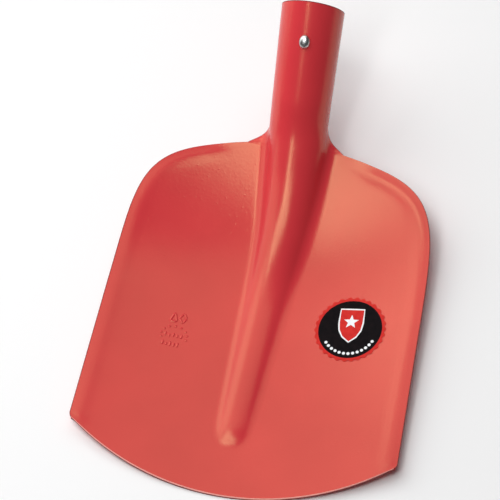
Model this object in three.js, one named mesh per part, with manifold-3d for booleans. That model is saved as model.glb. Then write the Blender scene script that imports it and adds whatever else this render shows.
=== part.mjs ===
// Round-nosed pressed-steel shovel head for grain, seed and sand, without its wooden handle.
// Blade, centre rib, neck and handle socket are one steel sheet; a dome rivet sits in the
// socket's front hole and a round vinyl label lies on the blade.
// Millimetres. The head lies on its back: +X to the right, +Y from nose to socket, +Z up.
import * as THREE from 'three';
import { mergeVertices } from 'three/addons/utils/BufferGeometryUtils.js';
import Module from 'manifold-3d';

// sheet
const SHEET = 2.0;
const GAP = 0.3;

// blade outline, half of it, measured from the nose
const CORNER_X = 117.5;
const CORNER_Y = 39.0;
const CORNER_R = 5.0;
const SIDE_X = 114.1;
const SIDE_Y = 148.1;
const SHOULDER_PULL = 86.0;
const NECK_PULL = 77.5;
const NECK_SLOPE = 0.2106;
const NECK_X = 35.9;
const NECK_Y = 270.4;

// blade dish: the sides rise above the middle, the rear sweeps up to the neck
const NOSE_DISH = 7.6;
const REAR_DISH = 15.8;
const DISH_POWER = 1.8;
const DISH_SOFT = 6.0;
const SWEEP_Y = 143.9;
const SWEEP_SLOPE = 0.4032;

// centre rib: distance from the nose, height, width to the left and right of its crest line,
// and where that line stands: near the nose it is a little left of the blade's middle
const RIB = [
  { y: 50, height: 2.4, left: 14.8, right: 15.6, middle: -2.8 },
  { y: 72, height: 3.2, left: 16.0, right: 17.2, middle: -2.4 },
  { y: 110, height: 4.3, left: 17.6, right: 19.2, middle: -2.0 },
  { y: 158, height: 6.2, left: 19.0, right: 22.6, middle: -1.6 },
  { y: 209, height: 10.9, left: 20.8, right: 27.2, middle: -0.6 },
  { y: 241, height: 15.8, left: 24.6, right: 29.8, middle: 0 },
  { y: 270.4, height: 21.5, left: 27.4, right: 31.6, middle: 0 },
];
const RIB_START = 39.0;
const RIB_ROUND = 15.0;
const RIB_CREST_LOW = 0.58;
const RIB_CREST_HIGH = 0.705;

// the rim band along the sides and shoulders is turned down a little
const MARGIN = 6.2;
const MARGIN_DROP = 0.8;
const MARGIN_START_Y = 40.0;
const MARGIN_END_X = 40.0;

// socket, a slight cone; measured along its axis from a point under the neck
const LIFT = 0.66;
const AXIS_Y = 260.6;
const AXIS_Z = 18.3;
const SOCKET_LENGTH = 116.0;
const NECK_R = 20.8;
const MOUTH_R = 23.1;
const ROLLED_FROM = 72.0;
const WAIST_AT = 14.0;
const WAIST_REACH = 36.4;
const ROLL_OVER = 18.0;
const TILT_OVER = 32.0;
const SEAM_HALF_GAP = 0.9;
const MOUTH_TILT = 0.3;

// dome rivet in the socket's front hole
const RIVET_DOWN = 22.7;
const RIVET_HEAD_R = 5.2;
const RIVET_HEAD_H = 2.6;
const RIVET_OVAL = 0.76;
const RIVET_SHANK_R = 2.3;
const RIVET_TAIL_R = 3.4;
const RIVET_TAIL_H = 0.9;

// round label
const LABEL_X = 64.6;
const LABEL_Y = 141.1;
const LABEL_R = 25.6;
const LABEL_THICK = 0.3;

// grid
const NOSE_ROWS = 8;
const BLADE_ROWS = 30;
const NECK_ROWS = 18;
const SOCKET_ROWS = 5;
const RIB_COLS = 10;
const WING_COLS = 11;
const RIM_COLS = 2;
const PROFILE_STEP = 1.0;
const PROFILE_REACH = 60;

const clamp01 = (t) => Math.min(1, Math.max(0, t));
const smooth = (t) => clamp01(t) ** 2 * (3 - 2 * clamp01(t));
const lerp = (a, b, t) => a + (b - a) * t;

// smooth value of one rib measure at y; past the last station it goes on at the same rate
function ribMeasure(key, y) {
  const last = RIB.length - 1;
  const slope = (k) => {
    const a = RIB[Math.max(k - 1, 0)];
    const b = RIB[Math.min(k + 1, last)];
    return (b[key] - a[key]) / (b.y - a.y);
  };
  if (y <= RIB[0].y) return RIB[0][key];
  if (y >= RIB[last].y) return RIB[last][key] + slope(last) * (y - RIB[last].y);
  let i = 0;
  while (y > RIB[i + 1].y) i += 1;
  const [a, b] = [RIB[i], RIB[i + 1]];
  const span = b.y - a.y;
  const t = (y - a.y) / span;
  const s = 1 - t;
  return a[key] * s * s * (1 + 2 * t)
    + slope(i) * span * t * s * s
    + b[key] * t * t * (3 - 2 * t)
    - slope(i + 1) * span * t * t * s;
}

// blade middle line
const sweep = (y) => {
  const t = Math.max(0, (y - SWEEP_Y) / (NECK_Y - SWEEP_Y));
  return 0.5 * SWEEP_SLOPE * (NECK_Y - SWEEP_Y) * t * t;
};
const sweepAngle = (y) => {
  const t = Math.max(0, (y - SWEEP_Y) / (NECK_Y - SWEEP_Y));
  return Math.atan(SWEEP_SLOPE * t);
};

const dish = (x, y) => {
  const depth = NOSE_DISH + (REAR_DISH - NOSE_DISH) * clamp01(y / SIDE_Y);
  const rise = (u) => Math.pow(Math.hypot(u, DISH_SOFT) / SIDE_X, DISH_POWER);
  return depth * (rise(x) - rise(0));
};

// rib cross-section at y: a crest arc that turns into the blade through a reverse arc
function ribShape(y, side) {
  const u = clamp01((y - RIB_START) / RIB_ROUND);
  const round = Math.sqrt(1 - (1 - u) * (1 - u));
  const height = ribMeasure('height', y) * round * round;
  const half = ribMeasure(side < 0 ? 'left' : 'right', y) * (0.35 + 0.65 * round);
  const angle = 2 * Math.atan(height / half);
  const sum = angle > 1e-6 ? half / Math.sin(angle) : 0;
  const up = clamp01((y - SWEEP_Y) / (NECK_Y - SWEEP_Y));
  const share = lerp(RIB_CREST_LOW, RIB_CREST_HIGH, up);
  return { height, half, angle, crest: sum * share, foot: sum * (1 - share) };
}
function ribHeight(x, y) {
  const off = x - ribMeasure('middle', y);
  const rib = ribShape(y, off);
  const a = Math.abs(off);
  if (rib.height < 1e-6 || a >= rib.half) return 0;
  if (a < rib.crest * Math.sin(rib.angle)) {
    return rib.height - rib.crest + Math.sqrt(rib.crest * rib.crest - a * a);
  }
  const d = rib.half - a;
  return rib.foot - Math.sqrt(rib.foot * rib.foot - d * d);
}

function bladePoint(x, y) {
  const rib = ribHeight(x, y);
  const tilt = sweepAngle(y);
  return new THREE.Vector3(
    x,
    y - rib * Math.sin(tilt),
    sweep(y) + dish(x, y) + rib * Math.cos(tilt),
  );
}

// half outline of the blade, from the end of the nose arc to the neck corner
const NOSE_R = (CORNER_X * CORNER_X + CORNER_Y * CORNER_Y) / (2 * CORNER_Y);
const noseY = (x) => NOSE_R - Math.sqrt(NOSE_R * NOSE_R - x * x);

function outline() {
  const points = [];
  const noseAngle = Math.asin(CORNER_X / NOSE_R);
  const lean = Math.atan2(CORNER_X - SIDE_X, SIDE_Y - CORNER_Y);
  const cut = CORNER_R * Math.tan((Math.PI / 2 - noseAngle - lean) / 2);
  const start = new THREE.Vector2(
    CORNER_X - cut * Math.cos(noseAngle),
    CORNER_Y - cut * Math.sin(noseAngle),
  );
  const end = new THREE.Vector2(
    CORNER_X - cut * Math.sin(lean),
    CORNER_Y + cut * Math.cos(lean),
  );
  const corner = new THREE.Vector2(CORNER_X, CORNER_Y);
  const round = new THREE.QuadraticBezierCurve(start, corner, end);
  points.push(...round.getPoints(4));
  const side = new THREE.Vector2(SIDE_X, SIDE_Y);
  for (let i = 1; i <= 8; i += 1) points.push(end.clone().lerp(side, i / 8));
  const along = side.clone().sub(corner).normalize();
  const neck = new THREE.Vector2(NECK_X, NECK_Y);
  const out = new THREE.Vector2(Math.cos(NECK_SLOPE), -Math.sin(NECK_SLOPE));
  const shoulder = new THREE.CubicBezierCurve(
    side,
    side.clone().addScaledVector(along, SHOULDER_PULL),
    neck.clone().addScaledVector(out, NECK_PULL),
    neck,
  );
  points.push(...shoulder.getSpacedPoints(BLADE_ROWS - 12).slice(1));
  return points;
}

// where the columns stand on a straight cross-section, as x, left edge to right edge
function columnX(edge, y) {
  const middle = ribMeasure('middle', y);
  const half = (side) => {
    const foot = Math.max(ribShape(y, side).half, 10);
    const inner = edge - side * middle - MARGIN * 1.15;
    const wide = WING_COLS - RIM_COLS;
    const xs = [];
    for (let i = 1; i <= RIB_COLS; i += 1) xs.push((foot * i) / RIB_COLS);
    for (let i = 1; i <= wide; i += 1) xs.push(lerp(foot, Math.max(inner, foot + 1), i / wide));
    const last = xs[xs.length - 1];
    for (let i = 1; i <= RIM_COLS; i += 1) {
      xs.push(lerp(last, edge - side * middle, i / RIM_COLS));
    }
    return xs.map((x) => middle + side * x);
  };
  return [...half(-1).reverse(), middle, ...half(1)];
}

// how far the rim band stands below the blade's own curve
function marginDrop(x, y, edges) {
  const p = new THREE.Vector3(Math.abs(x), y, 0);
  const near = new THREE.Vector3();
  let distance = MARGIN;
  for (let i = 1; i < edges.length; i += 1) {
    const a = new THREE.Vector3(edges[i - 1].x, edges[i - 1].y, 0);
    const b = new THREE.Vector3(edges[i].x, edges[i].y, 0);
    new THREE.Line3(a, b).closestPointToPoint(p, true, near);
    distance = Math.min(distance, near.distanceTo(p));
  }
  const t = 1 - distance / MARGIN;
  const drop = (Math.sqrt(t * t + 0.02) - Math.sqrt(0.02)) * MARGIN_DROP;
  return drop * smooth((y - MARGIN_START_Y) / 15) * smooth((Math.abs(x) - MARGIN_END_X) / 25);
}

function bladeRows() {
  const rows = [];
  const edges = outline();
  const lastBowed = edges[NOSE_ROWS].y;
  const power = ((lastBowed - edges[NOSE_ROWS - 1].y) * NOSE_ROWS) / lastBowed;
  edges.forEach((edge, j) => {
    const middle = j < NOSE_ROWS ? lastBowed * Math.pow(j / NOSE_ROWS, power) : edge.y;
    rows.push(columnX(edge.x, edge.y).map((x) => {
      const y = middle + ((edge.y - middle) * noseY(x)) / noseY(edge.x);
      const p = bladePoint(x, y);
      p.z -= marginDrop(x, y, edges);
      return p;
    }));
  });
  return rows;
}

// socket directions
const AXIS = new THREE.Vector3(0, Math.cos(LIFT), Math.sin(LIFT));
const FRONT = new THREE.Vector3(0, -Math.sin(LIFT), Math.cos(LIFT));
const AXIS_START = new THREE.Vector3(0, AXIS_Y, AXIS_Z);
const socketR = (s) => NECK_R + ((MOUTH_R - NECK_R) * s) / SOCKET_LENGTH;
const axisPoint = (s) => AXIS_START.clone().addScaledVector(AXIS, s);

// how far the sheet reaches from the front line to its edge: the flange is cut back to a
// waist just above the blade, then widens until the two edges meet behind the socket
function neckReach(along, run, start, end) {
  if (along < WAIST_AT) {
    const t = 1 - along / WAIST_AT;
    return WAIST_REACH + (start - WAIST_REACH) * t * t;
  }
  const t = (along - WAIST_AT) / (run - WAIST_AT);
  return WAIST_REACH + (end - WAIST_REACH) * smooth(t);
}

// the blade's own cross-section carried on past the neck: how far along the sheet each point
// is from the crest, the slope there, and how far it leans ahead
function flaredProfile(y, side, up, ahead) {
  const profile = [];
  let previous = null;
  let reached = 0;
  let crest = null;
  for (let x = 0; x <= PROFILE_REACH; x += PROFILE_STEP) {
    const p = bladePoint(side * x, y);
    p.x = x;
    if (previous) {
      const d = p.clone().sub(previous);
      const chord = Math.hypot(d.x, d.dot(up));
      profile.push({
        at: reached + chord / 2,
        angle: Math.atan2(d.dot(up), d.x),
        lead: p.clone().add(previous).multiplyScalar(0.5).sub(crest).dot(ahead),
      });
      reached += chord;
    } else {
      crest = p;
    }
    previous = p;
  }
  const at = (key, place) => {
    let i = 0;
    while (i < profile.length - 2 && place > profile[i + 1].at) i += 1;
    const [a, b] = [profile[i], profile[i + 1]];
    return lerp(a[key], b[key], clamp01((place - a.at) / (b.at - a.at)));
  };
  return { crest, at };
}

// rows above the blade on one side, front line first; `last` is the blade's last row
function socketRows(last, side) {
  const rows = [];
  const count = RIB_COLS + WING_COLS;
  const startTilt = sweepAngle(NECK_Y);
  const reached = [0];
  for (let i = 1; i <= count; i += 1) {
    reached.push(reached[i - 1] + last[i].distanceTo(last[i - 1]));
  }
  const start = reached[count];
  const end = Math.PI * socketR(ROLLED_FROM) - SEAM_HALF_GAP;
  const first = last[0].clone().sub(AXIS_START).dot(AXIS);
  const run = ROLLED_FROM - first;
  const pace = 1 / bladePoint(0, NECK_Y + 0.5).distanceTo(bladePoint(0, NECK_Y - 0.5));
  for (let j = 1; j <= NECK_ROWS; j += 1) {
    const u = Math.pow(j / NECK_ROWS, 1.7);
    const along = run * u;
    const radius = socketR(first + along);
    const roll = smooth(along / ROLL_OVER);
    const turned = smooth(along / TILT_OVER);
    const tilt = lerp(startTilt, LIFT, turned);
    const up = new THREE.Vector3(0, -Math.sin(tilt), Math.cos(tilt));
    const ahead = new THREE.Vector3(0, Math.cos(tilt), Math.sin(tilt));
    const flared = flaredProfile(NECK_Y + along * pace, side, up, ahead);
    const reach = neckReach(along, run, start, end);
    const place = (i) => reach * lerp(reached[i] / start, i / count, u);
    const rolledTop = axisPoint(first + along).addScaledVector(FRONT, radius);
    const top = flared.crest.clone().lerp(rolledTop, turned);
    let [across, rise] = [0, 0];
    const row = [top.clone()];
    for (let i = 0; i < count; i += 1) {
      const chord = place(i + 1) - place(i);
      const middle = (place(i + 1) + place(i)) / 2;
      const angle = lerp(flared.at('angle', middle), -middle / radius, roll);
      across += chord * Math.cos(angle);
      rise += chord * Math.sin(angle);
      row.push(top.clone()
        .add(new THREE.Vector3(side * across, 0, 0))
        .addScaledVector(up, rise)
        .addScaledVector(ahead, flared.at('lead', place(i + 1)) * (1 - roll)));
    }
    rows.push(row);
  }
  for (let j = 1; j <= SOCKET_ROWS; j += 1) {
    const u = j / SOCKET_ROWS;
    const s = ROLLED_FROM + (SOCKET_LENGTH - ROLLED_FROM) * u;
    const r = socketR(s);
    const reach = Math.PI - SEAM_HALF_GAP / r;
    const row = [];
    for (let i = 0; i <= count; i += 1) {
      const a = (reach * i) / count;
      const slant = MOUTH_TILT * r * Math.cos(a) * u;
      row.push(axisPoint(s + slant)
        .add(new THREE.Vector3(side * r * Math.sin(a), 0, 0))
        .addScaledVector(FRONT, r * Math.cos(a)));
    }
    rows.push(row);
  }
  return rows;
}

// full grid of the working face, left edge to right edge, nose to mouth
function faceGrid() {
  const blade = bladeRows();
  const last = blade[blade.length - 1];
  const middle = RIB_COLS + WING_COLS;
  const right = socketRows(last.slice(middle), 1);
  const left = socketRows(last.slice(0, middle + 1).reverse(), -1);
  const neck = right.map((row, j) => [...left[j].slice(1).reverse(), ...row]);
  return [...blade, ...neck];
}

// back face: the working face moved through the sheet along its own normal
function backGrid(grid) {
  const last = grid.length - 1;
  return grid.map((row, j) => row.map((p, i) => {
    const a = grid[Math.max(j - 1, 0)][i];
    const b = grid[Math.min(j + 1, last)][i];
    const c = row[Math.max(i - 1, 0)];
    const d = row[Math.min(i + 1, row.length - 1)];
    const across = d.clone().sub(c);
    const along = b.clone().sub(a);
    const normal = across.cross(along).normalize();
    if (j === last) {
      normal.addScaledVector(AXIS, -normal.dot(AXIS)).normalize();
      normal.addScaledVector(AXIS, MOUTH_TILT * normal.dot(FRONT));
    }
    return p.clone().addScaledVector(normal, -SHEET);
  }));
}

function sheetGeometry() {
  const face = faceGrid();
  const back = backGrid(face);
  const rows = face.length;
  const cols = face[0].length;
  const positions = [...face.flat(), ...back.flat()].flatMap((p) => [p.x, p.y, p.z]);
  const front = (j, i) => j * cols + i;
  const rear = (j, i) => rows * cols + j * cols + i;
  const index = [];
  const quad = (a, b, c, d) => index.push(a, b, c, a, c, d);
  for (let j = 0; j < rows - 1; j += 1) {
    for (let i = 0; i < cols - 1; i += 1) {
      quad(front(j, i), front(j, i + 1), front(j + 1, i + 1), front(j + 1, i));
      quad(rear(j, i), rear(j + 1, i), rear(j + 1, i + 1), rear(j, i + 1));
    }
    quad(front(j, 0), front(j + 1, 0), rear(j + 1, 0), rear(j, 0));
    const e = cols - 1;
    quad(front(j, e), rear(j, e), rear(j + 1, e), front(j + 1, e));
  }
  for (let i = 0; i < cols - 1; i += 1) {
    const e = rows - 1;
    quad(front(0, i), rear(0, i), rear(0, i + 1), front(0, i + 1));
    quad(front(e, i), front(e, i + 1), rear(e, i + 1), rear(e, i));
  }
  const geometry = new THREE.BufferGeometry();
  geometry.setAttribute('position', new THREE.Float32BufferAttribute(positions, 3));
  geometry.setIndex(index);
  return geometry;
}

const wasm = await Module();
wasm.setup();

function toManifold(geometry) {
  const plain = geometry.clone();
  plain.deleteAttribute('normal');
  plain.deleteAttribute('uv');
  const merged = mergeVertices(plain, 1e-4);
  const mesh = new wasm.Mesh({
    numProp: 3,
    vertProperties: new Float32Array(merged.attributes.position.array),
    triVerts: new Uint32Array(merged.index.array),
  });
  return new wasm.Manifold(mesh);
}
function fromManifold(solid) {
  const mesh = solid.getMesh();
  const geometry = new THREE.BufferGeometry();
  geometry.setAttribute('position', new THREE.BufferAttribute(mesh.vertProperties, 3));
  geometry.setIndex(new THREE.BufferAttribute(mesh.triVerts, 1));
  return geometry;
}

// rivet, turned about its own axis and set square to the socket's front line
const TAPER = Math.atan((MOUTH_R - NECK_R) / SOCKET_LENGTH);
const RIVET_S = SOCKET_LENGTH - RIVET_DOWN;
function placeOnFront(geometry) {
  geometry.scale(RIVET_OVAL, 1, 1);
  const out = FRONT.clone().applyAxisAngle(new THREE.Vector3(1, 0, 0), TAPER);
  const turn = new THREE.Quaternion().setFromUnitVectors(new THREE.Vector3(0, 1, 0), out);
  const seat = axisPoint(RIVET_S).addScaledVector(FRONT, socketR(RIVET_S));
  geometry.applyQuaternion(turn);
  geometry.translate(seat.x, seat.y, seat.z);
  return geometry;
}
function rivetGeometry() {
  const inside = -SHEET - GAP;
  const profile = [
    [0, inside - RIVET_TAIL_H],
    [RIVET_TAIL_R - 0.5, inside - RIVET_TAIL_H],
    [RIVET_TAIL_R, inside - RIVET_TAIL_H + 0.5],
    [RIVET_TAIL_R, inside],
    [RIVET_SHANK_R, inside],
    [RIVET_SHANK_R, GAP],
    [RIVET_HEAD_R, GAP],
    [RIVET_HEAD_R, GAP + 0.5],
  ];
  const domeSteps = 6;
  for (let i = 1; i <= domeSteps; i += 1) {
    const a = (i / domeSteps) * (Math.PI / 2);
    profile.push([
      i === domeSteps ? 0 : RIVET_HEAD_R * Math.cos(a),
      GAP + 0.5 + (RIVET_HEAD_H - 0.5) * Math.sin(a),
    ]);
  }
  const points = profile.map(([r, h]) => new THREE.Vector2(r, h));
  return placeOnFront(new THREE.LatheGeometry(points, 28));
}

// label, a thin disc that follows the dish of the blade
function labelGeometry() {
  const rings = 5;
  const spokes = 40;
  const positions = [];
  const lay = (lift) => {
    const at = (x, y) => {
      const p = bladePoint(x, y);
      positions.push(p.x, p.y, p.z + lift);
    };
    at(LABEL_X, LABEL_Y);
    for (let k = 1; k <= rings; k += 1) {
      for (let i = 0; i < spokes; i += 1) {
        const a = (i / spokes) * 2 * Math.PI;
        const r = (LABEL_R * k) / rings;
        at(LABEL_X + r * Math.cos(a), LABEL_Y + r * Math.sin(a));
      }
    }
  };
  lay(GAP + LABEL_THICK);
  lay(GAP);
  const layer = 1 + rings * spokes;
  const ring = (base, k, i) => base + 1 + (k - 1) * spokes + (i % spokes);
  const index = [];
  for (let i = 0; i < spokes; i += 1) {
    index.push(0, ring(0, 1, i), ring(0, 1, i + 1));
    index.push(layer, ring(layer, 1, i + 1), ring(layer, 1, i));
    for (let k = 1; k < rings; k += 1) {
      const [a, b] = [ring(0, k, i), ring(0, k + 1, i)];
      const [c, d] = [ring(0, k + 1, i + 1), ring(0, k, i + 1)];
      index.push(a, b, c, a, c, d);
      index.push(a + layer, c + layer, b + layer, a + layer, d + layer, c + layer);
    }
    const [a, d] = [ring(0, rings, i), ring(0, rings, i + 1)];
    index.push(a, a + layer, d + layer, a, d + layer, d);
  }
  const geometry = new THREE.BufferGeometry();
  geometry.setAttribute('position', new THREE.Float32BufferAttribute(positions, 3));
  geometry.setIndex(index);
  return geometry;
}

// rivet hole through the front wall of the socket
const hole = placeOnFront(new THREE.CylinderGeometry(
  RIVET_SHANK_R + GAP,
  RIVET_SHANK_R + GAP,
  4 * SHEET,
  28,
));
const head = fromManifold(toManifold(sheetGeometry()).subtract(toManifold(hole)));

const group = new THREE.Group();
group.name = 'shovel_head';
function addPart(name, geometry, color, roughness, metalness) {
  const material = new THREE.MeshStandardMaterial({ color, roughness, metalness });
  const flat = geometry.index ? geometry.toNonIndexed() : geometry;
  flat.computeVertexNormals();
  const mesh = new THREE.Mesh(flat, material);
  mesh.name = name;
  group.add(mesh);
}
addPart('pressed_head', head, 0xc23a30, 0.35, 0.2);
addPart('handle_rivet', rivetGeometry(), 0xb9bdb8, 0.35, 0.9);
addPart('round_label', labelGeometry(), 0x17181a, 0.4, 0.0);

// origin at the middle of the footprint, on the floor
const box = new THREE.Box3().setFromObject(group);
const centre = box.getCenter(new THREE.Vector3());
group.children.forEach((mesh) => mesh.geometry.translate(-centre.x, -centre.y, -box.min.z));

export default group;
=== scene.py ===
"""Red lacquered round-nosed shovel head, lying on its back on a pale floor."""
import math

import bpy
import numpy as np
from mathutils import Matrix, Vector


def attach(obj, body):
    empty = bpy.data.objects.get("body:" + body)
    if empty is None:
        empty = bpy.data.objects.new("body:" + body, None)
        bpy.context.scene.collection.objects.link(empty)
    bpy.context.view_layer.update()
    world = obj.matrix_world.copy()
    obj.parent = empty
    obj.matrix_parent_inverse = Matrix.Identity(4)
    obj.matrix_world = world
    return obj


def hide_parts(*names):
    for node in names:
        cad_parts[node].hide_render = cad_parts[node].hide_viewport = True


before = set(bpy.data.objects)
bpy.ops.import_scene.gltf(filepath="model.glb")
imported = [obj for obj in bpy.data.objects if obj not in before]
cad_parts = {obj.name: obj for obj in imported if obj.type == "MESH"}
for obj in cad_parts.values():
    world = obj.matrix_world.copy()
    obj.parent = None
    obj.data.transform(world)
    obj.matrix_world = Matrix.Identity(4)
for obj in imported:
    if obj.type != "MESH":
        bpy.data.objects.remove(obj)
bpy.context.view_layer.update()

MM = 0.001
TINY = 1e-6

# Lengths are millimetres and angles radians unless a name says otherwise. x runs to the right,
# y from the nose to the socket, z up from the lowest line of the working face.

# ---------------------------------------------------------------- the sheet
SHEET = 2.0

# outline: ground nose, rounded corner, side that draws in, shoulder curve to the neck
CORNER_X = 117.5
CORNER_Y = 39.0
CORNER_R = 5.0
SIDE_X = 114.1
SIDE_Y = 148.1
SHOULDER_PULL = 86.0
NECK_PULL = 77.5
NECK_SLOPE = 0.2106
NECK_X = 35.9
NECK_Y = 270.4

# the dish's depth at the nose and at the shoulders, and the blade's rise towards the neck
NOSE_DISH = 7.6
REAR_DISH = 15.8
DISH_POWER = 1.8
DISH_SOFT = 6.0
SWEEP_Y = 143.9
SWEEP_SLOPE = 0.4032

# centre rib at seven stations; its cross-section is a crest arc and two foot arcs
RIB_Y = [50, 72, 110, 158, 209, 241, 270.4]
RIB_HEIGHT = [2.4, 3.2, 4.3, 6.2, 10.9, 15.8, 21.5]
RIB_LEFT = [14.8, 16.0, 17.6, 19.0, 20.8, 24.6, 27.4]
RIB_RIGHT = [15.6, 17.2, 19.2, 22.6, 27.2, 29.8, 31.6]
RIB_MIDDLE = [-2.8, -2.4, -2.0, -1.6, -0.6, 0, 0]
RIB_START = 39.0
RIB_ROUND = 15.0
RIB_TIP_WIDTH = 0.35
RIB_CREST_LOW = 0.58
RIB_CREST_HIGH = 0.705

# the rim band along the sides and shoulders is turned down a little
MARGIN = 6.2
MARGIN_DROP = 0.9
MARGIN_SOFT = 0.02
MARGIN_START_Y = 33.0
MARGIN_START_RUN = 9.0
MARGIN_END_X = 40.0
MARGIN_END_RUN = 25.0
BEAD_RISE = 0.3
BEAD_IN = 7.5
BEAD_WIDTH = 4.0

# the neck rises to the socket's lift and rolls into a cone; its edges meet in a straight seam
LIFT = 0.66
AXIS_Y = 260.6
AXIS_Z = 18.3
SOCKET_LENGTH = 116.0
NECK_R = 20.8
MOUTH_R = 23.1
ROLLED_FROM = 72.0
WAIST_AT = 14.0
WAIST_REACH = 36.4
ROLL_OVER = 18.0
TILT_OVER = 32.0
SEAM_HALF_GAP = 0.9
MOUTH_TILT = 0.3

# the rivet's distance below the mouth, its head, shank and tail
RIVET_DOWN = 22.7
RIVET_HEAD_R = 5.2
RIVET_HEAD_H = 2.6
RIVET_SHANK_R = 2.3
RIVET_TAIL_R = 3.4
RIVET_TAIL_H = 0.9
RIVET_OVAL = 0.76

LABEL_X = 64.6
LABEL_Y = 141.1
LABEL_R = 22.9

# the row frame's origin, in the millimetres used above
ORIGIN = np.array([0.0, 180.460, -2.0])


def to_row(p):
    """Millimetres from the nose to metres in the row frame."""
    return (np.asarray(p, float) - ORIGIN) * MM


def smooth(t):
    t = np.clip(t, 0.0, 1.0)
    return t * t * (3 - 2 * t)


def through(values, y):
    """Smooth value through a few stations along the rib."""
    ys = np.array(RIB_Y, float)
    vs = np.array(values, float)
    slopes = np.gradient(vs, ys)
    slopes[1:-1] = (vs[2:] - vs[:-2]) / (ys[2:] - ys[:-2])
    beyond = slopes[-1] * np.maximum(y - ys[-1], 0)
    y = np.clip(y, ys[0], ys[-1])
    i = np.clip(np.searchsorted(ys, y, side="right") - 1, 0, len(ys) - 2)
    span = ys[i + 1] - ys[i]
    t = (y - ys[i]) / span
    s = 1 - t
    return (vs[i] * s * s * (1 + 2 * t) + slopes[i] * span * t * s * s
            + vs[i + 1] * t * t * (3 - 2 * t) - slopes[i + 1] * span * t * t * s + beyond)


def sweep(y):
    t = np.maximum(0, (y - SWEEP_Y) / (NECK_Y - SWEEP_Y))
    return 0.5 * SWEEP_SLOPE * (NECK_Y - SWEEP_Y) * t * t


def sweep_angle(y):
    t = np.maximum(0, (y - SWEEP_Y) / (NECK_Y - SWEEP_Y))
    return np.arctan(SWEEP_SLOPE * t)


def dish(x, y):
    depth = NOSE_DISH + (REAR_DISH - NOSE_DISH) * np.clip(y / SIDE_Y, 0, 1)
    soft = DISH_SOFT / SIDE_X
    return depth * (np.hypot(x / SIDE_X, soft) ** DISH_POWER - soft ** DISH_POWER)


def rib_shape(y, side):
    """Rib section at y on one side: height, half width, flank angle, crest and foot radius."""
    u = np.clip((y - RIB_START) / RIB_ROUND, 0, 1)
    rounded = np.sqrt(1 - (1 - u) ** 2)
    height = through(RIB_HEIGHT, y) * rounded ** 2
    full = np.where(side < 0, through(RIB_LEFT, y), through(RIB_RIGHT, y))
    half = full * (RIB_TIP_WIDTH + (1 - RIB_TIP_WIDTH) * rounded)
    angle = 2 * np.arctan(height / half)
    total = half / np.sin(np.maximum(angle, TINY))
    share = RIB_CREST_LOW + (RIB_CREST_HIGH - RIB_CREST_LOW) * np.clip(
        (y - SWEEP_Y) / (NECK_Y - SWEEP_Y), 0, 1)
    return height, half, angle, total * share, total * (1 - share)


def rib_height(x, y):
    off = x - through(RIB_MIDDLE, y)
    height, half, angle, crest, foot = rib_shape(y, off)
    a = np.abs(off)
    top = height - crest + np.sqrt(np.maximum(crest ** 2 - a ** 2, 0))
    d = np.clip(half - a, 0, foot)
    side = foot - np.sqrt(np.maximum(foot ** 2 - d ** 2, 0))
    out = np.where(a < crest * np.sin(angle), top, side)
    return np.where((height < TINY) | (a >= half), 0, out)


def blade_point(x, y):
    """The working face at x and y: sweep and dish, with the rib raised at right angles to them."""
    rib = rib_height(x, y)
    tilt = sweep_angle(y)
    return np.stack([x + 0 * y, y - rib * np.sin(tilt),
                     sweep(y) + dish(x, y) + rib * np.cos(tilt)], -1)


NOSE_R = (CORNER_X ** 2 + CORNER_Y ** 2) / (2 * CORNER_Y)


def nose_y(x):
    return NOSE_R - np.sqrt(NOSE_R ** 2 - np.square(x))


def bezier(points, t):
    p = np.array(points, float)
    t = np.asarray(t, float)[:, None]
    while len(p) > 1:
        p = [a * (1 - t) + b * t for a, b in zip(p[:-1], p[1:])]
    return p[0]


def running(steps):
    """Running sum that starts at zero."""
    return np.concatenate([[0], np.cumsum(steps)])


def spaced(curve, count):
    """count + 1 points at equal steps along a polyline."""
    along = running(np.linalg.norm(np.diff(curve, axis=0), axis=1))
    want = np.linspace(0, along[-1], count + 1)
    return np.stack([np.interp(want, along, curve[:, k]) for k in range(curve.shape[1])], -1)


CORNER_STEPS = 8
SIDE_STEPS = 36
SHOULDER_STEPS = 84
CURVE_STEPS = 600


def outline():
    """Right edge from the nose corner to the neck, one point per row of the blade."""
    nose_angle = math.asin(CORNER_X / NOSE_R)
    lean = math.atan2(CORNER_X - SIDE_X, SIDE_Y - CORNER_Y)
    cut = CORNER_R * math.tan((math.pi / 2 - nose_angle - lean) / 2)
    corner = np.array([CORNER_X, CORNER_Y])
    start = corner - cut * np.array([math.cos(nose_angle), math.sin(nose_angle)])
    end = corner + cut * np.array([-math.sin(lean), math.cos(lean)])
    side = np.array([SIDE_X, SIDE_Y])
    along = (side - corner) / np.linalg.norm(side - corner)
    neck = np.array([NECK_X, NECK_Y])
    out = np.array([math.cos(NECK_SLOPE), -math.sin(NECK_SLOPE)])
    fine = np.linspace(0, 1, CURVE_STEPS)
    shoulder = bezier([side, side + along * SHOULDER_PULL, neck + out * NECK_PULL, neck], fine)
    return np.concatenate([
        bezier([start, corner, end], np.linspace(0, 1, CORNER_STEPS + 1)),
        spaced(np.array([end, side]), SIDE_STEPS)[1:],
        spaced(shoulder, SHOULDER_STEPS)[1:],
    ])


RIB_COLS = 26
WING_COLS = 34
MIDDLE_COL = RIB_COLS + WING_COLS
RIB_COLS_REACH = 10.0
NOSE_ROWS = 26
NECK_ROWS = 60
NECK_ROW_POWER = 1.7
SOCKET_ROWS = 30
RIM_STRIP = 0.5


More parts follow.
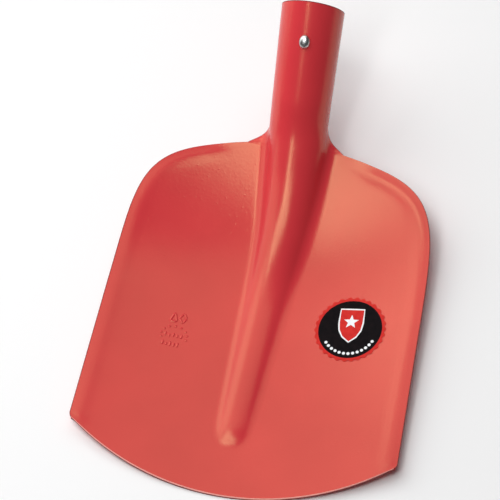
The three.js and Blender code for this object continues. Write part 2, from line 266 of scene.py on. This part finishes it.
def column_x(edge, y):
    """x of every column of a blade row, left edge to right edge."""
    middle = float(through(RIB_MIDDLE, y))
    left = middle - max(float(rib_shape(np.float64(y), -1)[1]), RIB_COLS_REACH)
    right = middle + max(float(rib_shape(np.float64(y), 1)[1]), RIB_COLS_REACH)
    return np.concatenate([
        [-edge],
        np.linspace(-edge + RIM_STRIP, left, WING_COLS)[:-1],
        np.linspace(left, middle, RIB_COLS + 1)[:-1],
        np.linspace(middle, right, RIB_COLS + 1),
        np.linspace(right, edge - RIM_STRIP, WING_COLS)[1:],
        [edge],
    ])


def margin_drop(x, y, edges):
    """How far the rim band stands below the blade's own curve."""
    p = np.stack([np.abs(x), y], -1)[:, None]
    a, b = edges[:-1], edges[1:]
    along = ((p - a) * (b - a)).sum(-1) / ((b - a) ** 2).sum(-1)
    near = a + np.clip(along, 0, 1)[..., None] * (b - a)
    distance = np.linalg.norm(p - near, axis=-1).min(1)
    t = np.clip(1 - distance / MARGIN, 0, 1)
    drop = (np.sqrt(t * t + MARGIN_SOFT) - math.sqrt(MARGIN_SOFT)) * MARGIN_DROP
    drop = drop - BEAD_RISE * np.exp(-((distance - BEAD_IN) / BEAD_WIDTH) ** 2)
    fade_in = smooth((y - MARGIN_START_Y) / MARGIN_START_RUN)
    fade_out = smooth((np.abs(x) - MARGIN_END_X) / MARGIN_END_RUN)
    return drop * fade_in * fade_out


def blade_rows():
    """Rows across the blade; the first ones carry the nose's bow and let it die out."""
    rows = []
    edges = outline()
    last_bowed = edges[NOSE_ROWS][1]
    power = (last_bowed - edges[NOSE_ROWS - 1][1]) * NOSE_ROWS / last_bowed
    for j, (ex, ey) in enumerate(edges):
        middle = last_bowed * (j / NOSE_ROWS) ** power if j < NOSE_ROWS else ey
        xs = column_x(ex, ey)
        bow = nose_y(xs) / nose_y(ex)
        ys = middle + (ey - middle) * bow
        row = blade_point(xs, ys)
        row[:, 2] -= margin_drop(xs, ys, edges)
        rows.append(row)
    return rows


AXIS = np.array([0, math.cos(LIFT), math.sin(LIFT)])
FRONT = np.array([0, -math.sin(LIFT), math.cos(LIFT)])
AXIS_START = np.array([0, AXIS_Y, AXIS_Z])
ACROSS = np.array([1.0, 0, 0])
# stations from the front line outwards, where the flare above the blade is measured
FLARE_X = np.linspace(0, 60, 241)


def socket_r(s):
    return NECK_R + (MOUTH_R - NECK_R) * s / SOCKET_LENGTH


def neck_reach(along, run, start, end):
    """Sheet length from the front line to the edge: in to the waist, then out to the cone."""
    if along < WAIST_AT:
        return WAIST_REACH + (start - WAIST_REACH) * (1 - along / WAIST_AT) ** 2
    return WAIST_REACH + (end - WAIST_REACH) * smooth((along - WAIST_AT) / (run - WAIST_AT))


def socket_rows(last, side):
    """Rows above the blade on one side, as if on the right, front line to the sheet's edge."""
    last = last * np.array([side, 1, 1])
    start_tilt = float(sweep_angle(NECK_Y))
    start_share = running(np.linalg.norm(np.diff(last, axis=0), axis=1))
    start = start_share[-1]
    start_share /= start
    end_share = np.arange(MIDDLE_COL + 1) / MIDDLE_COL
    end = math.pi * socket_r(ROLLED_FROM) - SEAM_HALF_GAP
    first = (last[0] - AXIS_START) @ AXIS
    run = ROLLED_FROM - first
    pace = 1 / np.linalg.norm(blade_point(0.0, NECK_Y + 0.5) - blade_point(0.0, NECK_Y - 0.5))
    rows = []
    for j in range(1, NECK_ROWS + 1):
        u = (j / NECK_ROWS) ** NECK_ROW_POWER
        along = run * u
        radius = socket_r(first + along)
        roll = smooth(along / ROLL_OVER)
        turned = smooth(along / TILT_OVER)
        tilt = start_tilt + (LIFT - start_tilt) * turned
        up = np.array([0, -math.sin(tilt), math.cos(tilt)])
        ahead = np.array([0, math.cos(tilt), math.sin(tilt)])
        flared = blade_point(side * FLARE_X, NECK_Y + along * pace) * np.array([side, 1, 1])
        step = np.diff(flared, axis=0)
        reached = running(np.hypot(step[:, 0], step @ up))
        slopes = np.arctan2(step @ up, step[:, 0])
        aheads = (flared - flared[0]) @ ahead
        reach = neck_reach(along, run, start, end)
        place = reach * (start_share * (1 - u) + end_share * u)
        rolled_top = AXIS_START + AXIS * (first + along) + FRONT * radius
        top = flared[0] * (1 - turned) + rolled_top * turned
        middle = (place[1:] + place[:-1]) / 2
        angle = (np.interp(middle, (reached[1:] + reached[:-1]) / 2, slopes) * (1 - roll)
                 - middle / radius * roll)
        across = running(np.diff(place) * np.cos(angle))
        rise = running(np.diff(place) * np.sin(angle))
        lead = np.interp(place, reached, aheads) * (1 - roll)
        rows.append(top + across[:, None] * ACROSS + rise[:, None] * up + lead[:, None] * ahead)
    for j in range(1, SOCKET_ROWS + 1):
        u = j / SOCKET_ROWS
        if j == SOCKET_ROWS - 1:
            u = 1 - RIM_STRIP / (SOCKET_LENGTH - ROLLED_FROM)
        s = ROLLED_FROM + (SOCKET_LENGTH - ROLLED_FROM) * u
        r = socket_r(s)
        a = np.linspace(0, math.pi - SEAM_HALF_GAP / r, MIDDLE_COL + 1)
        slant = MOUTH_TILT * r * np.cos(a) * u
        rows.append(AXIS_START + (s + slant)[:, None] * AXIS
                    + (r * np.sin(a))[:, None] * ACROSS + (r * np.cos(a))[:, None] * FRONT)
    return rows


def face_grid():
    """The whole working face, rows from the nose to the mouth, columns from left to right."""
    blade = np.array(blade_rows())
    right = np.array(socket_rows(blade[-1][MIDDLE_COL:], 1))
    left = np.array(socket_rows(blade[-1][MIDDLE_COL::-1], -1)) * np.array([-1, 1, 1])
    return np.concatenate([blade, np.concatenate([left[:, :0:-1], right], axis=1)])


def grid_normals(grid):
    along = np.gradient(grid, axis=0)
    across = np.gradient(grid, axis=1)
    n = np.cross(across, along)
    return n / np.linalg.norm(n, axis=-1, keepdims=True)


def make_object(name, verts, faces, shade_smooth=True):
    mesh = bpy.data.meshes.new(name)
    mesh.from_pydata([tuple(v) for v in verts], [], faces)
    mesh.validate()
    mesh.update()
    for poly in mesh.polygons:
        poly.use_smooth = shade_smooth
    obj = bpy.data.objects.new(name, mesh)
    bpy.context.scene.collection.objects.link(obj)
    return obj


# the nose's ground chamfer, and the row behind it that keeps the paint's shading flat
CHAMFER_IN = 0.8
CHAMFER_IN_SHARE = 0.4
CHAMFER_DOWN = 0.5
SETTLED_IN = 1.1
SETTLED_IN_SHARE = 0.55
EDGE_BEVEL = 0.35
EDGE_BEVEL_FROM_DEG = 62
# material slots: plain lacquer, painted highlight on the nose chamfer, painted shade on the cut
# edges
PAINT, CHAMFER_HIGHLIGHT, EDGE_SHADE = 0, 1, 2


def build_head():
    """The whole pressed sheet: working face, back, cut edges and the nose's ground chamfer."""
    face = face_grid()
    normal = grid_normals(face)
    normal[-1] -= (normal[-1] @ AXIS)[:, None] * AXIS
    normal[-1] /= np.linalg.norm(normal[-1], axis=-1, keepdims=True)
    normal[-1] += MOUTH_TILT * (normal[-1] @ FRONT)[:, None] * AXIS
    back = face - normal * SHEET
    inward = face[2] - face[0]
    room = np.linalg.norm(inward, axis=-1, keepdims=True)
    inward /= room
    ground = inward * np.minimum(CHAMFER_IN, CHAMFER_IN_SHARE * room)
    settled = inward * np.minimum(SETTLED_IN, SETTLED_IN_SHARE * room)
    low = face[0] - normal[0] * CHAMFER_DOWN
    face = np.concatenate([[low, face[0] + ground, face[0] + settled], face[2:]])
    back = np.concatenate([[back[0], back[0] + ground, back[0] + settled], back[2:]])
    rows, cols = face.shape[:2]
    verts = to_row(np.concatenate([face.reshape(-1, 3), back.reshape(-1, 3)]))
    n = rows * cols
    faces = []
    kinds = []
    for j in range(rows - 1):
        for i in range(cols - 1):
            a = j * cols + i
            b, c, d = a + 1, a + cols + 1, a + cols
            faces += [(a, b, c, d), (n + a, n + d, n + c, n + b)]
            rim = i in (0, cols - 2) or j == rows - 2
            # the nose chamfer's row takes the painted highlight, the outer strips and the mouth
            # row the painted edge shade
            kinds += [CHAMFER_HIGHLIGHT if j == 0 else EDGE_SHADE if rim else PAINT, PAINT]
        a = j * cols
        e = a + cols - 1
        faces += [(a, a + cols, n + a + cols, n + a), (e, n + e, n + e + cols, e + cols)]
        kinds += [EDGE_SHADE, EDGE_SHADE]
    top = (rows - 1) * cols
    for i in range(cols - 1):
        faces.append((i, n + i, n + i + 1, i + 1))
        faces.append((top + i, top + i + 1, n + top + i + 1, n + top + i))
        kinds += [EDGE_SHADE, EDGE_SHADE]
    obj = make_object("pressed_sheet", verts, faces)
    for poly, kind in zip(obj.data.polygons, kinds):
        poly.material_index = kind
    bevel = obj.modifiers.new("edge", "BEVEL")
    bevel.width = EDGE_BEVEL * MM
    bevel.segments = 2
    bevel.limit_method = "ANGLE"
    bevel.angle_limit = math.radians(EDGE_BEVEL_FROM_DEG)
    bevel.harden_normals = True
    return obj


# ---------------------------------------------------------------- materials
# scales are per metre of the object's own space
TONE_SCALE = 14
TONE_ENDS = (0.1, 0.9)
PEEL_SCALE = 520
PEEL_STRENGTH = 0.12
PEEL_DEPTH_M = 0.0004
PIT_SCALE = 210
PIT_REACH = 0.16
PIT_STRENGTH = 0.22
PIT_DEPTH_M = 0.00025
ZINC_SCALE = 900
ZINC_DARK = (0.5, 0.53, 0.52)
ZINC_LIGHT = (0.72, 0.74, 0.73)
ZINC_ENDS = (0.0, 1.0)
VINYL_SCALE = 260
VINYL_ENDS = (0.35, 0.7)
VINYL_ROUGH = 0.45


def node_material(name):
    mat = bpy.data.materials.new(name)
    mat.use_nodes = True
    tree = mat.node_tree
    return mat, tree.nodes, tree.links, tree.nodes["Principled BSDF"]


def add_node(nodes, kind, **values):
    """A new node with its input values set; an underscore in a name stands for a space."""
    node = nodes.new("ShaderNode" + kind)
    for key, value in values.items():
        node.inputs[key.replace("_", " ")].default_value = value
    return node


def mottled_base(nodes, links, bsdf, scale, detail, dark, light, ends):
    """Noise between two close shades as base colour; returns coordinate, noise and ramp nodes."""
    coord = nodes.new("ShaderNodeTexCoord")
    noise = add_node(nodes, "TexNoise", Scale=scale, Detail=detail)
    links.new(coord.outputs["Object"], noise.inputs["Vector"])
    ramp = nodes.new("ShaderNodeValToRGB")
    for stop, place, shade in zip(ramp.color_ramp.elements, ends, (dark, light)):
        stop.position = place
        stop.color = (*shade, 1)
    links.new(noise.outputs["Fac"], ramp.inputs["Fac"])
    links.new(ramp.outputs["Color"], bsdf.inputs["Base Color"])
    return coord, noise, ramp


def lacquer(name, dark, light, rough_from, rough_to, specular, sheen=(1, 1, 1)):
    """Sprayed lacquer: slow drift in tone and gloss, fine orange peel and scattered pits."""
    mat, nodes, links, bsdf = node_material(name)
    coord, tone, ramp = mottled_base(nodes, links, bsdf, TONE_SCALE, 3, dark, light, TONE_ENDS)
    ramp.color_ramp.interpolation = "EASE"
    peel = add_node(nodes, "TexNoise", Scale=PEEL_SCALE, Detail=2)
    links.new(coord.outputs["Object"], peel.inputs["Vector"])
    bump = add_node(nodes, "Bump", Strength=PEEL_STRENGTH, Distance=PEEL_DEPTH_M)
    links.new(peel.outputs["Fac"], bump.inputs["Height"])
    pits = add_node(nodes, "TexVoronoi", Scale=PIT_SCALE)
    links.new(coord.outputs["Object"], pits.inputs["Vector"])
    depth = add_node(nodes, "MapRange", From_Max=PIT_REACH)
    links.new(pits.outputs["Distance"], depth.inputs["Value"])
    dent = add_node(nodes, "Bump", Strength=PIT_STRENGTH, Distance=PIT_DEPTH_M)
    links.new(depth.outputs["Result"], dent.inputs["Height"])
    links.new(bump.outputs["Normal"], dent.inputs["Normal"])
    links.new(dent.outputs["Normal"], bsdf.inputs["Normal"])
    rough = add_node(nodes, "MapRange", To_Min=rough_from, To_Max=rough_to)
    links.new(tone.outputs["Fac"], rough.inputs["Value"])
    links.new(rough.outputs["Result"], bsdf.inputs["Roughness"])
    bsdf.inputs["Specular IOR Level"].default_value = specular
    bsdf.inputs["Specular Tint"].default_value = (*sheen, 1)
    return mat


def zinc():
    mat, nodes, links, bsdf = node_material("zinc_steel")
    mottled_base(nodes, links, bsdf, ZINC_SCALE, 2, ZINC_DARK, ZINC_LIGHT, ZINC_ENDS)
    bsdf.inputs["Metallic"].default_value = 1.0
    bsdf.inputs["Roughness"].default_value = 0.3
    return mat


def vinyl(name, dark, light, specular):
    mat, nodes, links, bsdf = node_material(name)
    mottled_base(nodes, links, bsdf, VINYL_SCALE, 3, dark, light, VINYL_ENDS)
    bsdf.inputs["Roughness"].default_value = VINYL_ROUGH
    bsdf.inputs["Specular IOR Level"].default_value = specular
    return mat


def plain_pale():
    mat, _, _, bsdf = node_material("floor_pale")
    bsdf.inputs["Base Color"].default_value = (0.97, 0.97, 0.97, 1)
    bsdf.inputs["Roughness"].default_value = 0.9
    return mat


head = build_head()
head.data.materials.append(
    lacquer("red_lacquer", (0.61, 0.034, 0.047), (0.71, 0.044, 0.057), rough_from=0.18,
            rough_to=0.25, specular=0.6, sheen=(1.0, 0.87, 0.45)))
# light pink on the nose's ground chamfer: a painted highlight along the nose edge
head.data.materials.append(
    lacquer("chamfer_painted_highlight", (0.92, 0.35, 0.31), (0.97, 0.43, 0.38), rough_from=0.3,
            rough_to=0.4, specular=0.5))
# dark red on the sheet's cut edges, outer face strips and mouth rim: painted shade on the edge
# faces
head.data.materials.append(
    lacquer("cut_edge_painted_shade", (0.20, 0.022, 0.022), (0.28, 0.032, 0.03), rough_from=0.45,
            rough_to=0.6, specular=0.2))
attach(head, "root")
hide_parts("pressed_head")

# ---------------------------------------------------------------- rivet
RIVET_GAP = 0.3
RIVET_TAIL_BEVEL_R = 0.5
RIVET_TAIL_BEVEL_H = 0.4
RIVET_SKIRT_R = [-0.2, 0.0, -0.15]
RIVET_SKIRT_H = [0.0, 0.15, 0.5]
RIVET_DOME_IN = 0.35
RIVET_DOME_FROM = 0.6
RIVET_DOME_POWER = 0.9
RIVET_DOME_STEPS = 12
RIVET_STEPS = 48


def rivet_profile():
    """Radius and height from the tail's middle to the dome's middle; height 0 is the socket."""
    under = -SHEET - RIVET_GAP
    tail = under - RIVET_TAIL_H
    profile = [(0, tail), (RIVET_TAIL_R - RIVET_TAIL_BEVEL_R, tail),
               (RIVET_TAIL_R, tail + RIVET_TAIL_BEVEL_H), (RIVET_TAIL_R, under),
               (RIVET_SHANK_R, under), (RIVET_SHANK_R, RIVET_GAP)]
    for r, h in zip(RIVET_SKIRT_R, RIVET_SKIRT_H):
        profile.append((RIVET_HEAD_R + r, RIVET_GAP + h))
    for k in range(1, RIVET_DOME_STEPS + 1):
        a = k / RIVET_DOME_STEPS * math.pi / 2
        profile.append(((RIVET_HEAD_R - RIVET_DOME_IN) * math.cos(a) ** RIVET_DOME_POWER,
                        RIVET_GAP + RIVET_DOME_FROM
                        + (RIVET_HEAD_H - RIVET_DOME_FROM) * math.sin(a)))
    return profile


def build_rivet():
    """Oval dome rivet: a low skirt, a slightly flattened dome, a short shank and its tail."""
    profile = rivet_profile()
    s = SOCKET_LENGTH - RIVET_DOWN
    taper = math.atan((MOUTH_R - NECK_R) / SOCKET_LENGTH)
    out = FRONT * math.cos(taper) - AXIS * math.sin(taper)
    along = AXIS * math.cos(taper) + FRONT * math.sin(taper)
    seat = AXIS_START + AXIS * s + FRONT * socket_r(s)
    steps = RIVET_STEPS
    verts = []
    for r, h in profile[1:-1]:
        for k in range(steps):
            a = k / steps * 2 * math.pi
            verts.append(to_row(seat + ACROSS * RIVET_OVAL * r * math.cos(a)
                                + along * r * math.sin(a) + out * h))
    rings = len(profile) - 2
    verts += [to_row(seat + out * profile[0][1]), to_row(seat + out * profile[-1][1])]
    low, high = rings * steps, rings * steps + 1
    faces = []
    for k in range(steps):
        n = (k + 1) % steps
        faces.append((low, n, k))
        faces.append((high, (rings - 1) * steps + k, (rings - 1) * steps + n))
        for j in range(rings - 1):
            faces.append((j * steps + k, j * steps + n, (j + 1) * steps + n, (j + 1) * steps + k))
    return make_object("dome_rivet", verts, faces)


rivet = build_rivet()
rivet.data.materials.append(zinc())
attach(rivet, "root")
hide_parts("handle_rivet")

# ---------------------------------------------------------------- pressed marks
# a maker-free mark about MARK_X, MARK_Y: two plain shapes, an arc of pips and two short tallies
MARK_X = -59.4
MARK_Y = 120.6
MARK_WIDE = 1.8
MARK_HIGH = 0.4
MARK_SUNK = 0.03
MARK_TIP = 0.35
MARK_FACETS = 12
STROKE_STEPS = 6
TRIANGLE = [(-5.0, 6.0), (-2.2, 13.2), (0.2, 6.4)]
LOZENGE = [(1.6, 9.6), (4.2, 13.8), (6.8, 10.0), (4.4, 5.8)]
PIPS = 9
PIP_FROM_DEG = 200
PIP_STEP_DEG = 27
PIP_CENTRE = (0.4, -5.0)
PIP_RADII = (9.4, 7.4)
PIP_LEFT, PIP_RIGHT, PIP_RISE = 0.9, 1.0, 0.2
# each tally: x of its first bar, foot of the bars, step between them and their heights
TALLIES = [(-6.0, -6.4, 2.9, [3.4, 2.2, 3.4, 2.6, 3.2]),
           (-6.6, -13.6, 2.7, [3.6, 2.4, 3.6, 3.0, 3.6])]
TALLY_LEAN = 0.4


def mark_strokes():
    """Every stroke of the mark as a polyline in the blade's x and y."""
    ends = [pair for shape in (TRIANGLE, LOZENGE) for pair in zip(shape, shape[1:] + shape[:1])]
    for k in range(PIPS):
        a = math.radians(PIP_FROM_DEG - k * PIP_STEP_DEG)
        x = PIP_CENTRE[0] + PIP_RADII[0] * math.cos(a)
        y = PIP_CENTRE[1] + PIP_RADII[1] * math.sin(a)
        ends.append(((x - PIP_LEFT, y), (x + PIP_RIGHT, y + PIP_RISE)))
    for left, foot, step, heights in TALLIES:
        for k, tall in enumerate(heights):
            x = left + step * k
            ends.append(((x, foot), (x + TALLY_LEAN, foot + tall)))
    return [spaced(np.array(pair, float), STROKE_STEPS) for pair in ends]


def build_marks():
    """Low welts that follow the blade, one closed tube per stroke, thinner at its ends."""
    verts, faces = [], []
    around = np.arange(MARK_FACETS) / MARK_FACETS * 2 * math.pi
    bell = np.sin(around) * np.abs(np.sin(around))
    for path in mark_strokes():
        path = path + [MARK_X, MARK_Y]
        way = np.gradient(path, axis=0)
        way /= np.linalg.norm(way, axis=1, keepdims=True)
        side = np.stack([-way[:, 1], way[:, 0]], -1)
        swell = np.ones(len(path))
        swell[[0, -1]] = MARK_TIP
        first = len(verts)
        for p, n, k in zip(path, side, swell):
            flat = p + np.cos(around)[:, None] * n * MARK_WIDE / 2 * k
            on = blade_point(flat[:, 0], flat[:, 1])
            on[:, 2] += MARK_HIGH * k * bell - MARK_SUNK
            verts += [tuple(v) for v in to_row(on)]
        for i in range(len(path) - 1):
            for j in range(MARK_FACETS):
                a = first + MARK_FACETS * i + j
                b = first + MARK_FACETS * i + (j + 1) % MARK_FACETS
                faces.append((a, b, b + MARK_FACETS, a + MARK_FACETS))
        last = first + MARK_FACETS * (len(path) - 1)
        faces.append(tuple(first + j for j in reversed(range(MARK_FACETS))))
        faces.append(tuple(last + j for j in range(MARK_FACETS)))
    return make_object("pressed_marks", verts, faces)


marks = build_marks()
marks.data.materials.append(head.data.materials[0])
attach(marks, "root")
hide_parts("pressed_head")

# ---------------------------------------------------------------- round label
LABEL_TURN = 0.05
BORDER_R = 25.2
BORDER_BITE = 0.75
BORDER_TEETH = 30
BORDER_DRIFT = 0.7
BORDER_DRIFTS = 5
POINTS_PER_TOOTH = 6
FIELD_POINTS = 96
SHIELD_STEPS = 40
STAR_STEPS = 60
DOT_POINTS = 20
SHIELD_UP = 3.4
SHIELD_RIGHT = [(0, 12.2), (8.2, 12.2), (8.2, 2.0), (7.4, -4.0), (4.8, -9.0), (0, -13.0)]
SHIELD_RIM = 1.1
STAR_UP = 6.0
STAR_OUTER = 5.6
STAR_INNER = 2.4
DOTS = 13
DOT_R = 1.15
DOT_RING_R = 19.4
DOT_FROM_DEG = 215
DOT_TO_DEG = 332
# heights of the printed layers above the lacquer
BORDER_LOW, FIELD_LOW, RIM_LOW, SHIELD_LOW, STAR_LOW, STAR_TOP = 0.3, 0.4, 0.46, 0.52, 0.58, 0.64


def polar(r, a):
    return np.stack([r * np.cos(a), r * np.sin(a)], -1)


def full_turn(count):
    return np.arange(count) / count * 2 * math.pi


def circle(r, count):
    return polar(r, full_turn(count))


def toothed_edge():
    """A stamped border's uneven wave."""
    a = full_turn(POINTS_PER_TOOTH * BORDER_TEETH)
    wave = np.sin(BORDER_TEETH * a + BORDER_DRIFT * np.sin(BORDER_DRIFTS * a))
    return polar(BORDER_R + BORDER_BITE * wave, a)


def shield_edge(grow):
    """Flat top, straight sides, pointed foot."""
    fine = spaced(np.array(SHIELD_RIGHT, float), SHIELD_STEPS)
    loop = np.concatenate([fine[:-1], (fine * [-1, 1])[:0:-1]])
    return loop * (1 + grow / np.maximum(np.linalg.norm(loop, axis=1, keepdims=True), 1))


def star_edge(outer, inner):
    """Five points; the loop is closed on its first corner before it is divided."""
    corner = np.arange(11) % 10
    points = polar(np.where(corner % 2 == 0, outer, inner), math.pi / 2 + corner * math.pi / 5)
    return spaced(points, STAR_STEPS)[:-1]


def lay_on_blade(name, edge, at, low, high, material, rings=3):
    """A thin printed layer: edge is its outline about the point `at`, in the label's own plane."""
    turn = np.array([[math.cos(LABEL_TURN), math.sin(LABEL_TURN)],
                     [-math.sin(LABEL_TURN), math.cos(LABEL_TURN)]])
    count = len(edge)
    flat = [np.array([at], float)]
    flat += [np.array(at) + edge * k / rings for k in range(1, rings + 1)]
    flat = np.concatenate(flat) @ turn + [LABEL_X, LABEL_Y]
    on = blade_point(flat[:, 0], flat[:, 1])
    layers = [on + [0, 0, high], on + [0, 0, low]]
    n = len(on)
    faces = []
    for i in range(count):
        k = (i + 1) % count
        faces.append((0, 1 + i, 1 + k))
        faces.append((n, n + 1 + k, n + 1 + i))
        for ring in range(rings - 1):
            a, b = 1 + ring * count + i, 1 + ring * count + k
            c, d = b + count, a + count
            faces.append((a, d, c, b))
            faces.append((n + a, n + b, n + c, n + d))
        a, b = 1 + (rings - 1) * count + i, 1 + (rings - 1) * count + k
        faces.append((a, n + a, n + b, b))
    obj = make_object(name, to_row(np.concatenate(layers)), faces, shade_smooth=False)
    obj.data.materials.append(material)
    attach(obj, "root")
    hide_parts("round_label")


black_print = vinyl("black_print", (0.003, 0.002, 0.003), (0.007, 0.004, 0.005), specular=0.04)
red_print = vinyl("red_print", (0.60, 0.018, 0.014), (0.68, 0.028, 0.020), specular=0.1)
white_print = vinyl("white_print", (0.86, 0.88, 0.9), (0.93, 0.95, 0.96), specular=0.3)

centre = (0, 0)
emblem = (0, SHIELD_UP)
lay_on_blade("label_border", toothed_edge(), centre, BORDER_LOW, FIELD_LOW, red_print, rings=10)
lay_on_blade("label_field", circle(LABEL_R, FIELD_POINTS), centre, FIELD_LOW, RIM_LOW,
             black_print, rings=10)
lay_on_blade("shield_rim", shield_edge(SHIELD_RIM), emblem, RIM_LOW, SHIELD_LOW, white_print,
             rings=5)
lay_on_blade("shield_field", shield_edge(0), emblem, SHIELD_LOW, STAR_LOW, red_print, rings=5)
lay_on_blade("shield_star", star_edge(STAR_OUTER, STAR_INNER), (0, STAR_UP), STAR_LOW, STAR_TOP,
             white_print)
for k in range(DOTS):
    a = math.radians(DOT_FROM_DEG + (DOT_TO_DEG - DOT_FROM_DEG) * k / (DOTS - 1))
    lay_on_blade(f"label_dot_{k}", circle(DOT_R, DOT_POINTS), tuple(polar(DOT_RING_R, a)),
                 RIM_LOW, SHIELD_LOW, white_print, rings=1)

# ---------------------------------------------------------------- floor
FLOOR_M = 8
bpy.ops.mesh.primitive_plane_add(size=FLOOR_M, location=(0, 0, 0))
floor = bpy.context.object
floor.name = "floor"
floor.data.materials.append(plain_pale())

# ---------------------------------------------------------------- light
AIM_M = (0, 0.03, 0.03)
WORLD_COLOR = (0.97, 0.96, 1.0, 1)
WORLD_STRENGTH = 0.06

world = bpy.data.worlds.new("studio")
bpy.context.scene.world = world
world.use_nodes = True
background = world.node_tree.nodes["Background"]
background.inputs["Color"].default_value = WORLD_COLOR
background.inputs["Strength"].default_value = WORLD_STRENGTH


def softbox(name, direction, distance, size, radiance):
    """A rectangular light aimed at the blade, in metres, its power from how bright its face is."""
    data = bpy.data.lights.new(name, "AREA")
    data.shape = "RECTANGLE"
    data.size, data.size_y = size
    data.energy = radiance * math.pi * size[0] * size[1]
    way = Vector(direction).normalized()
    obj = bpy.data.objects.new(name, data)
    obj.location = Vector(AIM_M) + way * distance
    obj.rotation_mode = "QUATERNION"
    obj.rotation_quaternion = way.to_track_quat("Z", "Y")
    bpy.context.scene.collection.objects.link(obj)


softbox("key", (-0.81, 0.25, 0.55), distance=2.1, size=(2.3, 2.3), radiance=1.6)
softbox("veil", (-0.2, 0.47, 0.86), distance=1.6, size=(2.0, 1.2), radiance=1.35)
softbox("over", (-0.12, -0.17, 0.97), distance=1.5, size=(1.04, 0.46), radiance=5.5)
softbox("strip", (-0.15, -0.46, 0.87), distance=1.5, size=(0.2, 0.5), radiance=9.5)

# ---------------------------------------------------------------- camera
# the camera stands CAM_DISTANCE from TARGET and looks LOOK_LEFT and LOOK_ABOVE of it
TARGET = np.array([0.0, 188.0, 18.8])
CAM_AZ = 0.304
CAM_EL = 1.0481
CAM_ROLL = -0.1171
CAM_DISTANCE = 2056.908
LOOK_LEFT = 16.993
LOOK_ABOVE = 0.684
SENSOR = 36.0
LENS = 205.682
NEAR_M, FAR_M = 0.05, 50


def make_camera():
    a, e, r = CAM_AZ, CAM_EL, CAM_ROLL
    back = np.array([math.sin(a) * math.cos(e), -math.cos(a) * math.cos(e), math.sin(e)])
    right = np.array([math.cos(a), math.sin(a), 0.0])
    up = np.cross(back, right)
    right, up = (math.cos(r) * right + math.sin(r) * up,
                 -math.sin(r) * right + math.cos(r) * up)
    place = to_row(TARGET + back * CAM_DISTANCE)
    look = to_row(TARGET - right * LOOK_LEFT + up * LOOK_ABOVE) - place
    look /= np.linalg.norm(look)
    z = -look
    y = up - (up @ z) * z
    y /= np.linalg.norm(y)
    x = np.cross(y, z)
    data = bpy.data.cameras.new("camera")
    data.sensor_fit = "HORIZONTAL"
    data.sensor_width = SENSOR
    data.lens = LENS
    data.clip_start, data.clip_end = NEAR_M, FAR_M
    cam = bpy.data.objects.new("camera", data)
    turn = Matrix((x, y, z)).transposed().to_4x4()
    turn.translation = Vector(place)
    cam.matrix_world = turn
    bpy.context.scene.collection.objects.link(cam)
    bpy.context.scene.camera = cam


make_camera()

bpy.context.scene.view_settings.view_transform = "Standard"
